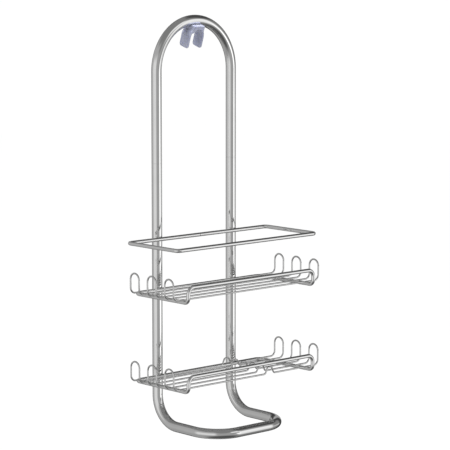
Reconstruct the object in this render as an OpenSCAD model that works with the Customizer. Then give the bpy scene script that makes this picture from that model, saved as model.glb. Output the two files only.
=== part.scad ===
// Hanging shower caddy: a bent tube frame that hangs from a shower arm, with a guard rail,
// two wire baskets whose floor wires end in hooks, and a towel bar at the foot.
// +Z is up, +Y is towards the wall and -Y is the front. The origin is on the shower arm's
// axis, straight under the top of the arch.

/* [Frame tube] */
// Outside diameter of the frame tube
tube_d = 14.3; // [12.7:0.1:16]
// Wall thickness of the frame tube
tube_wall = 0.9; // [0.7:0.1:1.3]
// Distance between the two legs, centre to centre
leg_spacing = 138; // [112:1:170]
// Drop from the top of the arch to the towel bar, centre to centre
frame_drop = 558.5; // [520:0.5:680]
// Distance from the legs forward to the towel bar, centre to centre
bar_reach = 120; // [108:1:150]
// Bend radius where the legs turn forward
foot_bend_r = 40; // [30:1:55]
// Bend radius at the two corners of the towel bar
bar_corner_r = 41; // [25:1:50]

/* [Tube splice] */
// Drop from the top of the arch to the splice in the legs
splice_drop = 195; // [150:1:240]
// Length of the sleeve inside each splice
sleeve_len = 64; // [40:1:90]
// Wall thickness of the sleeve
sleeve_wall = 1.2; // [0.8:0.1:2]
// Radial clearance of the sleeve in the tube
sleeve_clearance = 0.05; // [0.02:0.01:0.1]
// Width of the hairline between the two tubes
splice_gap = 0.2; // [0.1:0.1:0.5]

/* [Arm grip] */
// Outside diameter of the shower arm that the grip sits on
arm_d = 21.4; // [20:0.1:27]
// Downward slope of the shower arm, in degrees
arm_slope = 18; // [0:1:25]
// Wall thickness of the grip
grip_wall = 2.5; // [1.5:0.1:4]
// Length of the grip along the shower arm
grip_len = 18.5; // [18:0.5:30]
// How far the grip's middle sits behind the frame tube
grip_offset = 3; // [0:0.5:5]
// How far the grip's skirts reach below the arm's axis
skirt_drop = 17.5; // [12:0.5:24]
// Corner radius of the grip's skirts
skirt_corner_r = 4; // [1:0.5:6]
// Width of the cradle along the frame tube
cradle_w = 19; // [10:1:24]
// How far the cradle's lips rise past the bottom of the frame tube
cradle_lip = 3; // [1:0.5:5]
// Thickness of the cradle's lips at their top
cradle_lip_wall = 2.4; // [1.5:0.1:4]
// Gap between the frame tube and its cradle
cradle_clearance = 0.05; // [0.02:0.01:0.2]

/* [Wires] */
// Diameter of the guard rail and the basket rims
rail_d = 5.5; // [4:0.1:6.5]
// Diameter of the floor and hook wires
wire_d = 2.4; // [2:0.1:3.2]
// How far crossing wires sink into each other at a weld
weld_sink = 0.25; // [0.1:0.05:0.5]
// Diameter of a weld where a rail meets a leg
rail_weld_d = 5.8; // [3:0.1:7]
// Diameter of a weld where a floor wire crosses a rim
wire_weld_d = 2.9; // [2:0.1:4]

/* [Guard rail] */
// Width of the guard rail, on its centre line
guard_w = 256.5; // [200:0.5:320]
// Distance from the guard rail's back to its front, on its centre line
guard_depth = 101.5; // [80:0.5:140]
// Drop from the top of the arch to the guard rail
guard_drop = 299; // [260:1:340]
// Corner radius of the guard rail
guard_corner_r = 5; // [4:0.5:20]

/* [Baskets] */
// Width of a basket rim, on its centre line
rim_w = 233; // [190:1:290]
// Distance from a rim's back to its front, on its centre line
rim_depth = 109.5; // [90:0.5:150]
// Height of a rim's raised front above its sides
rim_front_rise = 20.8; // [18:0.1:36]
// Corner radius at a rim's back corners
rim_back_r = 9; // [6:0.5:20]
// Bend radius where a rim turns up at the front
rim_turn_r = 7; // [5:0.5:8]
// Bend radius at the top of a rim's raised front
rim_top_r = 9.5; // [5:0.5:10]
// Drop from the top of the arch to the upper basket's rim
upper_drop = 369.5; // [345:0.5:400]
// Drop from the top of the arch to the lower basket's rim
lower_drop = 491; // [450:1:500]

/* [Hook wires] */
// Distance from a rim's back to the first floor wire
floor_back_gap = 12.3; // [8:0.1:20]
// Distance from the last floor wire to a rim's front
floor_front_gap = 8.7; // [8:0.1:20]
// How far the hooks stand outside a rim's side
hook_reach = 18.8; // [14:0.1:30]
// Height of a hook's top above a rim's side
hook_rise = 32; // [26:0.5:45]
// Bend radius where a floor wire turns up into a hook
hook_turn_r = 8; // [4:0.5:10]

/* [Soap divider] */
// Distance of the lower basket's divider from its middle
divider_x = 41; // [10:1:70]
// Width of the divider at its foot
divider_foot_w = 16; // [16:0.5:30]
// Width of the divider at its top
divider_top_w = 8; // [7:0.5:14]
// Height of the divider above the floor wires
divider_rise = 9; // [8:0.5:14]
// Bend radius of the divider
divider_bend_r = 4; // [2:0.1:4.2]

/* [Hidden] */

CHROME = [0.78, 0.79, 0.80];
SATIN_STEEL = [0.62, 0.63, 0.64];
CLEAR_VINYL = [0.66, 0.72, 0.88];

bar_fn = 32;            // facets round a tube or wire
bore_fn = 96;           // facets round the grip's bore
overshoot = 1;          // how far a cut runs past the face it opens
band_len = 0.2;         // length of the band round an end of a slanting bend
band_proud = 0.04;      // how much wider than the wire that band is
right_angle = 90;

tube_r = tube_d / 2;
tube_bore_d = tube_d - 2 * tube_wall;
rail_r = rail_d / 2;
wire_r = wire_d / 2;
leg_x = leg_spacing / 2;
arm_r = arm_d / 2;
grip_r = arm_r + grip_wall;

// Height of the arch's tube over the origin, and the levels that hang from it
arch_z = (grip_r + cradle_clearance + tube_r) / cos(arm_slope);
splice_z = arch_z - splice_drop;
bar_z = arch_z - frame_drop;
guard_z = arch_z - guard_drop;
upper_z = arch_z - upper_drop;
lower_z = arch_z - lower_drop;

// Rails are welded to the front of the legs, and floor wires to the top of the rims
rail_back_y = -(tube_r + rail_r - weld_sink);
floor_rise = rail_r + wire_r - weld_sink;
rim_side_x = rim_w / 2;
hook_x = rim_side_x + hook_reach;

wires_per_hook = 2;
hook_loops = 3;
floor_wires = wires_per_hook * hook_loops;
floor_pitch = (rim_depth - floor_back_gap - floor_front_gap) / (floor_wires - 1);

// Distance of floor wire i from the legs' plane, counted from the back
function floor_y(i) = rail_back_y - floor_back_gap - i * floor_pitch;

// Direction from point a to point b, as a unit vector
function heading(a, b) = (b - a) / norm(b - a);

// Angle between two unit vectors
function turn_angle(u, v) = acos(max(-1, min(1, u * v)));

// Length that a bend of radius r takes from each side of a corner
function setback(u, v, r) = r * tan(turn_angle(u, v) / 2);

// A hair-thin band round a wire of diameter d at point p. It ties the two lengths that
// meet there into one solid where their ends are worked out from an angle.
module band(p, direction, d) {
    straight(p - direction * band_len / 2, p + direction * band_len / 2, d + band_proud);
}

// The cross section of a bar of diameter d, or of a tube where bore_d is its bore
module section(d, bore_d) {
    difference() {
        circle(d = d, $fn = bar_fn);
        if (bore_d > 0)
            circle(d = bore_d, $fn = bar_fn);
    }
}

// A straight bar or tube from a to b
module straight(a, b, d, bore_d = 0) {
    run = b - a;
    translate(a)
        rotate([0, acos(run[2] / norm(run)), atan2(run[1], run[0])])
            linear_extrude(height = norm(run))
                section(d, bore_d);
}

// A bend of radius r at corner p, where the heading changes from u to v
module bend(p, u, v, r, d, bore_d) {
    side = (v - u * (u * v)) / norm(v - u * (u * v));
    axis = cross(u, side);
    start = p - u * setback(u, v, r);
    centre = start + side * r;
    if (abs(turn_angle(u, v) - right_angle) > 0.01) {
        band(start, u, d);
        band(p + v * setback(u, v, r), v, d);
    }
    multmatrix([
        [-side[0], u[0], axis[0], centre[0]],
        [-side[1], u[1], axis[1], centre[1]],
        [-side[2], u[2], axis[2], centre[2]],
        [0, 0, 0, 1]
    ])
        rotate_extrude(angle = turn_angle(u, v), $fn = 4 * bar_fn)
            translate([r, 0])
                section(d, bore_d);
}

// A bar or tube bent along points, with radii[i] at the corner points[i + 1]
module bent_bar(points, radii, d, bore_d = 0) {
    last = len(points) - 1;
    for (i = [0 : last - 1]) {
        u = heading(points[i], points[i + 1]);
        cut_start = i == 0 ? 0 : setback(heading(points[i - 1], points[i]), u, radii[i - 1]);
        cut_end = i == last - 1 ? 0 : setback(u, heading(points[i + 1], points[i + 2]), radii[i]);
        run = norm(points[i + 1] - points[i]) - cut_start - cut_end;
        if (run > 0.001)
            straight(points[i] + u * cut_start, points[i + 1] - u * cut_end, d, bore_d);
        if (i < last - 1)
            bend(points[i + 1], u, heading(points[i + 1], points[i + 2]), radii[i], d, bore_d);
    }
}

// The upper tube: a half-circle arch with the top of both legs
module hanger_arch() {
    leg_h = splice_drop - leg_x - splice_gap / 2;
    color(CHROME)
        translate([0, 0, arch_z - leg_x]) {
            rotate([right_angle, 0, 0])
                rotate_extrude(angle = 2 * right_angle, $fn = 4 * bar_fn)
                    translate([leg_x, 0])
                        section(tube_d, tube_bore_d);
            for (side = [-1, 1])
                straight([side * leg_x, 0, -leg_h], [side * leg_x, 0, 0], tube_d, tube_bore_d);
        }
}

// The lower tube: both legs, turned forward at the foot and joined by the towel bar
module lower_frame() {
    leg_h = frame_drop - splice_drop - splice_gap / 2;
    color(CHROME)
        translate([0, 0, bar_z])
            bent_bar(
                [[-leg_x, 0, leg_h], [-leg_x, 0, 0], [-leg_x, -bar_reach, 0],
                 [leg_x, -bar_reach, 0], [leg_x, 0, 0], [leg_x, 0, leg_h]],
                [foot_bend_r, bar_corner_r, bar_corner_r, foot_bend_r],
                tube_d, tube_bore_d);
}

// A short sleeve that joins the two tubes from inside; side is -1 for left and 1 for right
module splice_sleeve(side) {
    sleeve_d = tube_bore_d - 2 * sleeve_clearance;
    color(SATIN_STEEL)
        translate([side * leg_x, 0, splice_z])
            difference() {
                cylinder(h = sleeve_len, d = sleeve_d, center = true, $fn = bore_fn);
                cylinder(h = sleeve_len + 2 * overshoot, d = sleeve_d - 2 * sleeve_wall,
                         center = true, $fn = bore_fn);
            }
}

// Outline of the grip seen from the side, up to height top, with its lower corners rounded
module skirt_outline(top) {
    corner_y = grip_len / 2 - skirt_corner_r;
    corner_z = skirt_corner_r - skirt_drop;
    translate([-grip_len / 2, corner_z])
        square([grip_len, top - corner_z]);
    translate([-corner_y, -skirt_drop])
        square([2 * corner_y, skirt_corner_r + overshoot]);
    for (side = [-1, 1])
        translate([side * corner_y, corner_z])
            circle(r = skirt_corner_r, $fn = bore_fn);
}

// A half-round saddle with straight skirts, centred on the shower arm; its top is solid up
// to saddle_r and its skirts reach down to the depth drop
module saddle(saddle_r, len, drop) {
    rotate([right_angle, 0, 0])
        cylinder(h = len, r = saddle_r, center = true, $fn = bore_fn);
    translate([-saddle_r, -len / 2, -drop])
        cube([2 * saddle_r, len, drop]);
}

// The soft grip: a saddle over the shower arm with a cradle for the arch on its top
module arm_grip() {
    cradle_top = grip_r + cradle_clearance + cradle_lip;
    seat_half = sqrt(2 * tube_r * cradle_lip - cradle_lip * cradle_lip);
    cradle_half = seat_half + cradle_lip_wall;
    color(CLEAR_VINYL)
        difference() {
            rotate([arm_slope, 0, 0])
                difference() {
                    union() {
                        translate([0, grip_offset, 0])
                            intersection() {
                                saddle(grip_r, grip_len, skirt_drop);
                                rotate([right_angle, 0, right_angle])
                                    linear_extrude(height = 2 * grip_r + overshoot, center = true)
                                        skirt_outline(grip_r + overshoot);
                            }
                        translate([-cradle_w / 2, -cradle_half, 0])
                            cube([cradle_w, 2 * cradle_half, cradle_top]);
                    }
                    saddle(arm_r, 2 * (grip_len + grip_offset), skirt_drop + overshoot);
                }
            translate([0, 0, arch_z - leg_x])
                rotate([right_angle, 0, 0])
                    rotate_extrude($fn = 4 * bar_fn)
                        translate([leg_x, 0])
                            circle(r = tube_r + cradle_clearance, $fn = bar_fn);
        }
}

// The guard rail: one closed rectangle of wire, butt welded at the middle of its back
module guard_rail() {
    side_x = guard_w / 2;
    color(CHROME)
        translate([0, rail_back_y, guard_z])
            bent_bar(
                [[0, 0, 0], [-side_x, 0, 0], [-side_x, -guard_depth, 0],
                 [side_x, -guard_depth, 0], [side_x, 0, 0], [0, 0, 0]],
                [guard_corner_r, guard_corner_r, guard_corner_r, guard_corner_r],
                rail_d);
}

// Two welds that hold a rail at height z to the front of the legs
module rail_welds(z) {
    color(SATIN_STEEL)
        for (side = [-1, 1])
            translate([side * leg_x, -tube_r + tube_wall / 2, z])
                rotate([right_angle, 0, 0])
                    cylinder(h = tube_wall / 2 + rail_r - weld_sink, d = rail_weld_d, $fn = bar_fn);
}

// A basket rim at height z: flat at the back and sides, turned up along the front
module basket_rim(z) {
    color(CHROME)
        translate([0, rail_back_y, z])
            bent_bar(
                [[0, 0, 0], [-rim_side_x, 0, 0], [-rim_side_x, -rim_depth, 0],
                 [-rim_side_x, -rim_depth, rim_front_rise], [rim_side_x, -rim_depth, rim_front_rise],
                 [rim_side_x, -rim_depth, 0], [rim_side_x, 0, 0], [0, 0, 0]],
                [rim_back_r, rim_turn_r, rim_top_r, rim_top_r, rim_turn_r, rim_back_r],
                rail_d);
}

// Corners of the divider on a floor wire at y, from left to right
function divider_points(y) = [
    [divider_x - divider_foot_w / 2, y, 0],
    [divider_x - divider_top_w / 2, y, divider_rise],
    [divider_x + divider_top_w / 2, y, divider_rise],
    [divider_x + divider_foot_w / 2, y, 0]
];

// A list in the opposite order
function reversed(list) = [for (i = [len(list) - 1 : -1 : 0]) list[i]];

// One wire bent into two neighbouring floor wires that close in a hook at each side.
// first is the number of its rear floor wire and z is its rim's height.
module hook_wire(first, z, divided) {
    top = hook_rise - floor_rise;
    rear_divider = divided ? divider_points(0) : [];
    front_divider = divided ? reversed(divider_points(-floor_pitch)) : [];
    divider_radii = divided ? [for (i = [1 : 4]) divider_bend_r] : [];
    hook_radii = [hook_turn_r, floor_pitch / 2, floor_pitch / 2, hook_turn_r];
    color(CHROME)
        translate([0, floor_y(first), z + floor_rise])
            bent_bar(
                concat(
                    [[0, 0, 0]],
                    rear_divider,
                    [[hook_x, 0, 0], [hook_x, 0, top],
                     [hook_x, -floor_pitch, top], [hook_x, -floor_pitch, 0]],
                    front_divider,
                    [[-hook_x, -floor_pitch, 0], [-hook_x, -floor_pitch, top],
                     [-hook_x, 0, top], [-hook_x, 0, 0],
                     [0, 0, 0]]),
                concat(divider_radii, hook_radii, divider_radii, hook_radii),
                wire_d);
}

// A weld at each crossing of a floor wire and a rim's side, for a rim at height z
module floor_welds(z) {
    color(SATIN_STEEL)
        for (side = [-1, 1], i = [0 : floor_wires - 1])
            translate([side * rim_side_x, floor_y(i), z + rail_r - weld_sink - wire_r / 2])
                cylinder(h = wire_r, d = wire_weld_d, $fn = bar_fn);
}

hanger_arch();
lower_frame();
splice_sleeve(-1);  // left_splice_sleeve
splice_sleeve(1);  // right_splice_sleeve
arm_grip();
guard_rail();
rail_welds(guard_z);  // guard_rail_welds
basket_rim(upper_z);  // upper_basket_rim
rail_welds(upper_z);  // upper_rim_welds
hook_wire(0, upper_z, false);  // upper_rear_hook_wire
hook_wire(2, upper_z, false);  // upper_middle_hook_wire
hook_wire(4, upper_z, false);  // upper_front_hook_wire
floor_welds(upper_z);  // upper_floor_welds
basket_rim(lower_z);  // lower_basket_rim
rail_welds(lower_z);  // lower_rim_welds
hook_wire(0, lower_z, true);  // lower_rear_hook_wire
hook_wire(2, lower_z, true);  // lower_middle_hook_wire
hook_wire(4, lower_z, true);  // lower_front_hook_wire
floor_welds(lower_z);  // lower_floor_welds
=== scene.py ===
import math

import bmesh
import bpy
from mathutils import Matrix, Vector, noise


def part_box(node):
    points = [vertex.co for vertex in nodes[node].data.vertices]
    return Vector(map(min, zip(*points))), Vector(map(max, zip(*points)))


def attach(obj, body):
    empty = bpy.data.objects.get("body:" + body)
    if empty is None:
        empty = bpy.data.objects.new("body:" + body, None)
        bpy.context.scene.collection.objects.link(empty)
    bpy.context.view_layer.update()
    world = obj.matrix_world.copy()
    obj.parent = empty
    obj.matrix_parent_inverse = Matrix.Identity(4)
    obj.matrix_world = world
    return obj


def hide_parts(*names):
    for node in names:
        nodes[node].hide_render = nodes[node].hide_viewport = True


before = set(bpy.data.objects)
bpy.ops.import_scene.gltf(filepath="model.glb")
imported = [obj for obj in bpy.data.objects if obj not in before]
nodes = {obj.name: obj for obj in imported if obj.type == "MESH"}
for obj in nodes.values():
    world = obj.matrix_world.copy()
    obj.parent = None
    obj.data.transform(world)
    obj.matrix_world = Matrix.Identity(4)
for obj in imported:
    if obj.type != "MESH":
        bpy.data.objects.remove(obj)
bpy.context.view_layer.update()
scene = bpy.context.scene

MM = 0.001
WIRE_R = 1.2 * MM           # half the hook wires' thickness
WELD_SINK = 0.25 * MM       # how far the CAD's bars sink into each other at a weld
FILLET_SINK = 0.06 * MM     # how far a fillet's edges reach into the bars
RIDGE_SINK = 0.05 * MM      # the same for a butt weld's ridge
OUTLINE_WOBBLE = 0.16       # how much a fillet's outline wanders, as a share of its size
RIDGE_SWELL = 0.5           # the same for a butt weld's height
Y_AXIS, Z_AXIS = Vector((0, 1, 0)), Vector((0, 0, 1))


# ---------------------------------------------------------------- node helpers
def new_material(name):
    mat = bpy.data.materials.new(name)
    mat.use_nodes = True
    tree = mat.node_tree
    return mat, tree, tree.nodes["Principled BSDF"]


def add(tree, kind, **sockets):
    node = tree.nodes.new(kind)
    for key, value in sockets.items():
        node.inputs[key.replace("_", " ")].default_value = value
    return node


def link(tree, source, target):
    tree.links.new(source, target)


def math_node(tree, operation, first, second=None):
    """A Math node's output; each operand is a number or another node's output."""
    node = tree.nodes.new("ShaderNodeMath")
    node.operation = operation
    for socket, value in zip(node.inputs, (first, second)):
        if value is None:
            continue
        if isinstance(value, (int, float)):
            socket.default_value = value
        else:
            link(tree, value, socket)
    return node.outputs[0]


def smooth_range(tree, value, start, end, low=0.0, high=1.0):
    """low where value is at start, high where it is at end, and a smooth step between."""
    node = add(tree, "ShaderNodeMapRange",
               From_Min=start, From_Max=end, To_Min=low, To_Max=high)
    node.interpolation_type = "SMOOTHSTEP"
    link(tree, value, node.inputs["Value"])
    return node.outputs["Result"]


def ramp(tree, value, stops):
    """A colour ramp; each stop is a position and a (red, green, blue) colour."""
    node = tree.nodes.new("ShaderNodeValToRGB")
    link(tree, value, node.inputs["Fac"])
    elements = node.color_ramp.elements
    while len(elements) < len(stops):
        elements.new(0.5)
    for element, (position, colour) in zip(elements, stops):
        element.position = position
        element.color = (*colour, 1.0)
    return node.outputs["Color"]


def scaled(colour, factor):
    return tuple(c * factor for c in colour)


def noise_field(tree, scale, detail, stretch=(1.0, 1.0, 1.0)):
    """Noise fixed to the piece; scale is how many of its features there are to a metre."""
    coord = tree.nodes.new("ShaderNodeTexCoord")
    mapping = add(tree, "ShaderNodeMapping", Scale=stretch)
    link(tree, coord.outputs["Object"], mapping.inputs["Vector"])
    field = add(tree, "ShaderNodeTexNoise", Scale=scale, Detail=detail)
    link(tree, mapping.outputs["Vector"], field.inputs["Vector"])
    return field.outputs["Fac"]


def dress(tree, bsdf, colour, roughness, height, bump_strength, bump_distance=0.2 * MM):
    """Give a shader its colour, its roughness and a bump made of height."""
    link(tree, colour, bsdf.inputs["Base Color"])
    link(tree, roughness, bsdf.inputs["Roughness"])
    bump = add(tree, "ShaderNodeBump", Strength=bump_strength, Distance=bump_distance)
    link(tree, height, bump.inputs["Height"])
    link(tree, bump.outputs["Normal"], bsdf.inputs["Normal"])


# ---------------------------------------------------------------- materials
def chrome(name, tint, rough, peel_strength):
    """Bright chrome plate: slight haze and water spots, orange peel under the plate."""
    mat, tree, bsdf = new_material(name)
    bsdf.inputs["Metallic"].default_value = 1.0
    haze = noise_field(tree, scale=38.0, detail=4.0)
    fine = noise_field(tree, scale=420.0, detail=3.0)
    blend = math_node(tree, "ADD", math_node(tree, "MULTIPLY", haze, 0.7),
                      math_node(tree, "MULTIPLY", fine, 0.3))
    dress(tree, bsdf,
          colour=ramp(tree, blend, [(0.38, scaled(tint, 0.97)), (0.52, tint),
                                    (0.68, scaled(tint, 0.98))]),
          roughness=smooth_range(tree, blend, 0.40, 0.68, low=rough, high=rough * 1.8),
          height=noise_field(tree, scale=150.0, detail=1.0),
          bump_strength=peel_strength)
    return mat


def weld_metal():
    """Plated weld: duller than the bar and rippled, with darker and warmer patches."""
    mat, tree, bsdf = new_material("weld_metal")
    bsdf.inputs["Metallic"].default_value = 1.0
    grain = noise_field(tree, scale=900.0, detail=4.0)
    patchy = noise_field(tree, scale=240.0, detail=2.0)
    dress(tree, bsdf,
          colour=ramp(tree, patchy, [(0.35, (0.42, 0.41, 0.40)), (0.55, (0.62, 0.62, 0.62)),
                                     (0.72, (0.70, 0.69, 0.66))]),
          roughness=smooth_range(tree, grain, 0.3, 0.7, low=0.2, high=0.42),
          height=grain, bump_strength=0.5)
    return mat


def brushed_steel():
    """Drawn steel of the hidden sleeves: lines along the tube."""
    mat, tree, bsdf = new_material("brushed_steel")
    bsdf.inputs["Metallic"].default_value = 1.0
    lines = noise_field(tree, scale=900.0, detail=3.0, stretch=(1.0, 1.0, 0.03))
    dress(tree, bsdf,
          colour=ramp(tree, lines, [(0.3, (0.40, 0.40, 0.41)), (0.7, (0.62, 0.62, 0.63))]),
          roughness=smooth_range(tree, lines, 0.3, 0.7, low=0.28, high=0.45),
          height=lines, bump_strength=0.25, bump_distance=0.1 * MM)
    return mat


def clear_vinyl():
    """Soft milky vinyl with a blue cast, slightly clouded and finely pebbled."""
    mat, tree, bsdf = new_material("clear_vinyl")
    bsdf.inputs["IOR"].default_value = 1.5
    bsdf.inputs["Subsurface Weight"].default_value = 0.3
    bsdf.inputs["Subsurface Radius"].default_value = (0.8, 0.8, 1.2)
    bsdf.inputs["Subsurface Scale"].default_value = 3 * MM
    bsdf.inputs["Coat Weight"].default_value = 0.55
    bsdf.inputs["Coat Roughness"].default_value = 0.08
    cloud = noise_field(tree, scale=60.0, detail=1.0)
    dress(tree, bsdf,
          colour=ramp(tree, cloud, [(0.3, (0.33, 0.35, 0.46)), (0.55, (0.37, 0.39, 0.51)),
                                    (0.75, (0.41, 0.43, 0.55))]),
          roughness=smooth_range(tree, cloud, 0.3, 0.7, low=0.22, high=0.34),
          height=noise_field(tree, scale=700.0, detail=2.0),
          bump_strength=0.05)
    return mat


TUBE_CHROME = chrome("tube_chrome", (0.86, 0.86, 0.855), rough=0.035, peel_strength=0.005)
# The rails' chrome has a lighter tint than the tubes' so that the thin rails shine brighter: a
# painted highlight.
RAIL_CHROME_PAINTED_HIGHLIGHT = chrome("rail_chrome_painted_highlight", (0.93, 0.93, 0.925), rough=0.04, peel_strength=0.008)
# The hook wires' chrome has a darker tint than the tubes' so that the thin wires read darker:
# painted shade.
WIRE_CHROME_PAINTED_SHADE = chrome("wire_chrome_painted_shade", (0.80, 0.80, 0.795), rough=0.06, peel_strength=0.015)
WELD_METAL = weld_metal()
SLEEVE_STEEL = brushed_steel()
VINYL = clear_vinyl()

for name, obj in nodes.items():
    if name in ("hanger_arch", "lower_frame"):
        finish = TUBE_CHROME
    elif name.endswith("_sleeve"):
        finish = SLEEVE_STEEL
    elif name.endswith("_hook_wire"):
        finish = WIRE_CHROME_PAINTED_SHADE
    else:
        finish = RAIL_CHROME_PAINTED_HIGHLIGHT
    obj.data.materials.clear()
    obj.data.materials.append(finish)


# ---------------------------------------------------------------- mesh helpers
def piece_from(name, bm, material, slot, *replaced):
    mesh = bpy.data.meshes.new(name)
    bmesh.ops.recalc_face_normals(bm, faces=bm.faces[:])
    for face in bm.faces:
        face.smooth = True
    bm.to_mesh(mesh)
    bm.free()
    obj = bpy.data.objects.new(name, mesh)
    scene.collection.objects.link(obj)
    mesh.materials.append(material)
    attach(obj, "root")
    if replaced:
        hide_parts(*replaced)


def band(bm, rows):
    """Faces between neighbouring rows of points; the last row joins the first."""
    for one, two in zip(rows, rows[1:] + rows[:1]):
        for k in range(len(one) - 1):
            bm.faces.new((one[k], two[k], two[k + 1], one[k + 1]))


def fillet(bm, contact, normal, along_a, bar_a, bar_b, reach_a, reach_b, waist, around, across):
    """A weld between two bars that cross at right angles.

    Bar a lies along along_a behind the contact, bar b crosses in front of it along the third
    direction, and bar_a and bar_b are their radii. reach_a and reach_b are the weld's half
    sizes on each bar, along a and along b, and waist is its half size where it is narrowest.
    """
    along_b = normal.cross(along_a)
    seed = contact * 900.0
    rows = []
    for j in range(around):
        angle = 2 * math.pi * j / around
        c, s = math.cos(angle), math.sin(angle)
        wobble = 1.0 + OUTLINE_WOBBLE * noise.noise(seed + Vector((2.2 * c, 2.2 * s, 0.7)))
        radius_a, radius_b, radius_waist = (wobble / math.hypot(c / size[0], s / size[1])
                                            for size in (reach_a, reach_b, waist))
        foot_a = math.sqrt(max(bar_a ** 2 - (radius_a * s) ** 2, 0.0)) - bar_a - FILLET_SINK
        foot_b = (bar_b - WELD_SINK - math.sqrt(max(bar_b ** 2 - (radius_b * c) ** 2, 0.0))
                  + FILLET_SINK)
        start = Vector((radius_a * c, radius_a * s, foot_a))
        middle = Vector((radius_waist * c, radius_waist * s, (foot_a + foot_b) / 2))
        end = Vector((radius_b * c, radius_b * s, foot_b))
        row = []
        for k in range(across + 1):
            t = k / across
            p = start * (1 - t) ** 2 + middle * 2 * t * (1 - t) + end * t ** 2
            row.append(bm.verts.new(contact + along_a * p.x + along_b * p.y + normal * p.z))
        rows.append(row)
    band(bm, rows)


def upset_ring(bm, centre, radius, half_width, height, around, across):
    """The ground-down ridge of a butt weld round a bar that runs along X."""
    seed = centre.z * 90.0
    rows = []
    for j in range(around):
        angle = 2 * math.pi * j / around
        c, s = math.cos(angle), math.sin(angle)
        swell = 1.0 + RIDGE_SWELL * noise.noise(Vector((1.7 * c, 1.7 * s, seed)))
        row = []
        for k in range(across + 1):
            t = k / across
            r = radius - RIDGE_SINK + height * swell * math.sin(math.pi * t) ** 1.5
            x = half_width * (2 * t - 1) * (0.9 + 0.2 * swell)
            row.append(bm.verts.new(centre + Vector((x, r * c, r * s))))
        rows.append(row)
    band(bm, rows)


# ---------------------------------------------------------------- welds
arch_low, arch_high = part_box("hanger_arch")
tube_r = (arch_high[1] - arch_low[1]) / 2
leg_x = arch_high[0] - tube_r
guard_low, guard_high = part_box("guard_rail")
rail_r = (guard_high[2] - guard_low[2]) / 2


def rail_weld_piece(name, rail, replaced):
    """The two welds that hold the back of a rail to the legs."""
    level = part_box(rail)[0][2] + rail_r
    bm = bmesh.new()
    for side in (-1, 1):
        fillet(bm, Vector((side * leg_x, -tube_r, level)), -Y_AXIS, Z_AXIS, tube_r, rail_r,
               reach_a=(3.3 * MM, 3.8 * MM), reach_b=(2.1 * MM, 3.3 * MM),
               waist=(2.1 * MM, 2.4 * MM), around=48, across=7)
    piece_from(name, bm, WELD_METAL, "weld", replaced)


def floor_weld_piece(name, basket, replaced):
    """The welds that hold a basket's six floor wires to the two sides of its rim."""
    rim_low, rim_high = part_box(basket + "_basket_rim")
    side_x = rim_high[0] - rail_r
    top = rim_low[2] + 2 * rail_r
    bm = bmesh.new()
    for place in ("rear", "middle", "front"):
        low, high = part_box(basket + "_" + place + "_hook_wire")
        for y in (low[1] + WIRE_R, high[1] - WIRE_R):
            for side in (-1, 1):
                fillet(bm, Vector((side * side_x, y, top)), Z_AXIS, Y_AXIS, rail_r, WIRE_R,
                       reach_a=(1.9 * MM, 1.7 * MM), reach_b=(1.0 * MM, 1.9 * MM),
                       waist=(1.1 * MM, 1.25 * MM), around=28, across=5)
    piece_from(name, bm, WELD_METAL, "weld", replaced)


rail_weld_piece("guard_rail_weld_beads", "guard_rail", "guard_rail_welds")
rail_weld_piece("upper_rim_weld_beads", "upper_basket_rim", "upper_rim_welds")
rail_weld_piece("lower_rim_weld_beads", "lower_basket_rim", "lower_rim_welds")
floor_weld_piece("upper_floor_weld_beads", "upper", "upper_floor_welds")
floor_weld_piece("lower_floor_weld_beads", "lower", "lower_floor_welds")

for rail in ("guard_rail", "upper_basket_rim", "lower_basket_rim"):
    low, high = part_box(rail)
    bm = bmesh.new()
    upset_ring(bm, Vector((0.0, high[1] - rail_r, low[2] + rail_r)), rail_r,
               half_width=0.8 * MM, height=0.12 * MM, around=48, across=8)
    piece_from(rail + "_butt_weld", bm, WELD_METAL, "weld")


# ---------------------------------------------------------------- soft grip
def moulded_copy(name, source, voxel, rounds):
    """A copy of a CAD node with the soft, rounded edges of a vinyl moulding."""
    obj = bpy.data.objects.new(name, source.data.copy())
    scene.collection.objects.link(obj)
    remesh = obj.modifiers.new("remesh", "REMESH")
    remesh.mode = "VOXEL"
    remesh.voxel_size = voxel
    smooth = obj.modifiers.new("smooth", "SMOOTH")
    smooth.factor = 0.5
    smooth.iterations = rounds
    bpy.context.view_layer.update()
    depsgraph = bpy.context.evaluated_depsgraph_get()
    baked = bpy.data.meshes.new_from_object(obj.evaluated_get(depsgraph))
    obj.modifiers.clear()
    obj.data = baked
    baked.materials.clear()
    baked.materials.append(VINYL)
    for polygon in baked.polygons:
        polygon.use_smooth = True
    return obj


grip = moulded_copy("arm_grip_moulding", nodes["arm_grip"], voxel=0.32 * MM, rounds=40)
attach(grip, "root")
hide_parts("arm_grip")

# ---------------------------------------------------------------- world
# What the chrome reflects: an even surround with soft light and dark panels and discs on it.
# Azimuth 0 is the front (-Y) and 90 the right (+X), and height is over the horizon, all in
# degrees. Each one is laid over those before it.
PANELS = (
    # azimuth, height, half width, half height, edge, brightness
    (-105, 31, 55, 13, 9, 0.43),
    (-82, -2, 36, 22, 10, 0.76),
    (-14, -4, 31, 24, 8, 0.37),
    (-22, 32, 14, 12, 6, 0.24),
    (84, 18, 28, 22, 7, 0.24),
    (90, 46, 36, 17, 6, 0.07),
    (126, 33, 15, 13, 5, 0.09),
    (18, 4, 16, 6, 4, 0.30),
    (20, 27, 14, 9, 5, 0.90),
    (33, 18, 8, 6, 4, 0.88),
    (57, -10, 43, 6, 4, 0.62),
    (46, -21, 11, 10, 4, 0.86),
    (43, 1, 8, 14, 4, 0.98),
    (31, -8, 7, 6, 3, 1.7),
)
DISCS = (
    # azimuth, height, radius, edge, brightness
    (100, -42, 28, 8, 0.18),
    (137, -7, 44, 6, 0.06),
    (-10, -66, 36, 12, 0.09),
    (133, 1, 15, 5, 0.42),
)

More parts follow.
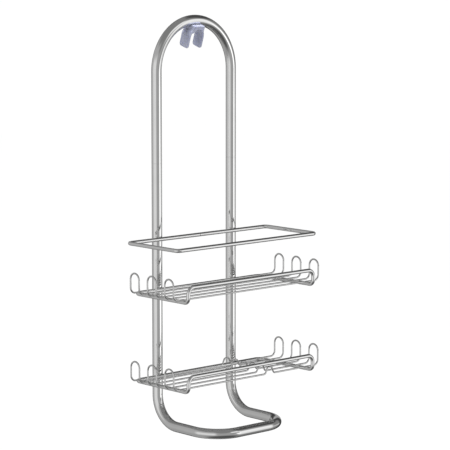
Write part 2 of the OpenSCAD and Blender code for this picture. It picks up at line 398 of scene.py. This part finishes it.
world = bpy.data.worlds.new("studio")
scene.world = world
world.use_nodes = True
sky = world.node_tree
sky_coord = sky.nodes.new("ShaderNodeTexCoord")
direction = sky.nodes.new("ShaderNodeSeparateXYZ")
link(sky, sky_coord.outputs["Generated"], direction.inputs[0])
elevation = math_node(sky, "ARCSINE", direction.outputs["Z"])
flat_length = math_node(sky, "COSINE", elevation)


def arc_cosine(value):
    clamped = math_node(sky, "MINIMUM", math_node(sky, "MAXIMUM", value, -1.0), 1.0)
    return math_node(sky, "ARCCOSINE", clamped)


def within(angle, size, edge):
    """1 where the angle is inside size and 0 outside it, with a soft edge, in degrees."""
    return smooth_range(sky, angle, math.radians(size + edge), math.radians(size - edge))


def laid_over(shade, inside, brightness):
    return math_node(sky, "ADD",
                     math_node(sky, "MULTIPLY", shade, math_node(sky, "SUBTRACT", 1.0, inside)),
                     math_node(sky, "MULTIPLY", inside, brightness))


def with_panel(shade, azimuth, height, half_width, half_height, edge, brightness):
    """A panel covers a range of azimuths and a range of heights."""
    a = math.radians(azimuth)
    along = math_node(sky, "ADD",
                      math_node(sky, "MULTIPLY", direction.outputs["X"], math.sin(a)),
                      math_node(sky, "MULTIPLY", direction.outputs["Y"], -math.cos(a)))
    turn = arc_cosine(math_node(sky, "DIVIDE", along, flat_length))
    climb = math_node(sky, "ABSOLUTE",
                      math_node(sky, "SUBTRACT", elevation, math.radians(height)))
    inside = math_node(sky, "MULTIPLY", within(turn, half_width, edge),
                       within(climb, half_height, edge))
    return laid_over(shade, inside, brightness)


def with_disc(shade, azimuth, height, radius, edge, brightness):
    """A disc covers every direction within an angle of its middle."""
    a, e = math.radians(azimuth), math.radians(height)
    toward = (math.sin(a) * math.cos(e), -math.cos(a) * math.cos(e), math.sin(e))
    x, y, z = (math_node(sky, "MULTIPLY", direction.outputs[axis], part)
               for axis, part in zip("XYZ", toward))
    away = arc_cosine(math_node(sky, "ADD", math_node(sky, "ADD", x, y), z))
    return laid_over(shade, within(away, radius, edge), brightness)


below = smooth_range(sky, elevation, math.radians(-40), math.radians(-5), low=0.36, high=0.45)
above = smooth_range(sky, elevation, math.radians(12), math.radians(38), low=1.0, high=0.50)
shade = math_node(sky, "MULTIPLY", below, above)
for panel in PANELS:
    shade = with_panel(shade, *panel)
for disc in DISCS:
    shade = with_disc(shade, *disc)
link(sky, shade, sky.nodes["Background"].inputs["Color"])

# ---------------------------------------------------------------- floor and backdrop
FLOOR_HALF, FLOOR_LEVEL = 6.0, -0.80
BACKDROP_RADIUS = 20.0


def stage_piece(name, mesh, paint, grey, glow):
    """A pale surface with an even glow, not sampled as a lamp and not seen in the chrome."""
    obj = bpy.data.objects.new(name, mesh)
    scene.collection.objects.link(obj)
    obj.visible_glossy = False
    mat, _, bsdf = new_material(paint)
    mat.cycles.emission_sampling = "NONE"
    bsdf.inputs["Base Color"].default_value = (grey, grey, grey, 1.0)
    bsdf.inputs["Emission Color"].default_value = (1.0, 1.0, 1.0, 1.0)
    bsdf.inputs["Emission Strength"].default_value = glow
    mesh.materials.append(mat)
    return obj, bsdf


floor_mesh = bpy.data.meshes.new("floor")
corners = [(x * FLOOR_HALF, y * FLOOR_HALF, FLOOR_LEVEL)
           for x, y in ((-1, -1), (1, -1), (1, 1), (-1, 1))]
floor_mesh.from_pydata(corners, [], [(0, 1, 2, 3)])
_, floor_bsdf = stage_piece("floor", floor_mesh, "floor_paint", grey=0.05, glow=0.975)
floor_bsdf.inputs["Roughness"].default_value = 0.9

dome_mesh = bpy.data.meshes.new("backdrop")
bm = bmesh.new()
bmesh.ops.create_icosphere(bm, subdivisions=4, radius=BACKDROP_RADIUS)
bm.to_mesh(dome_mesh)
bm.free()
dome, _ = stage_piece("backdrop", dome_mesh, "backdrop_white", grey=0.0, glow=1.0)
dome.visible_diffuse = False
dome.visible_shadow = False

# ---------------------------------------------------------------- light
light = bpy.data.lights.new("overhead", "AREA")
light.shape = "DISK"
light.size = 2.6
light.energy = 150
lamp = bpy.data.objects.new("overhead", light)
lamp.location = (-0.4, -0.5, 2.2)
scene.collection.objects.link(lamp)
lamp.visible_glossy = False
lamp.visible_camera = False

# ---------------------------------------------------------------- camera
CAMERA_AZIMUTH, CAMERA_HEIGHT = -42.33, 7.64    # the photo's viewing angle, in degrees

camera_data = bpy.data.cameras.new("camera")
camera_data.sensor_width = 36.0
camera_data.lens = 173.4
camera_data.clip_end = 100.0
camera = bpy.data.objects.new("camera", camera_data)
camera.location = (-1.997, -2.256, 0.139)
camera.rotation_euler = (math.radians(90 - CAMERA_HEIGHT), 0.0, math.radians(CAMERA_AZIMUTH))
scene.collection.objects.link(camera)
scene.camera = camera

scene.view_settings.view_transform = "Standard"
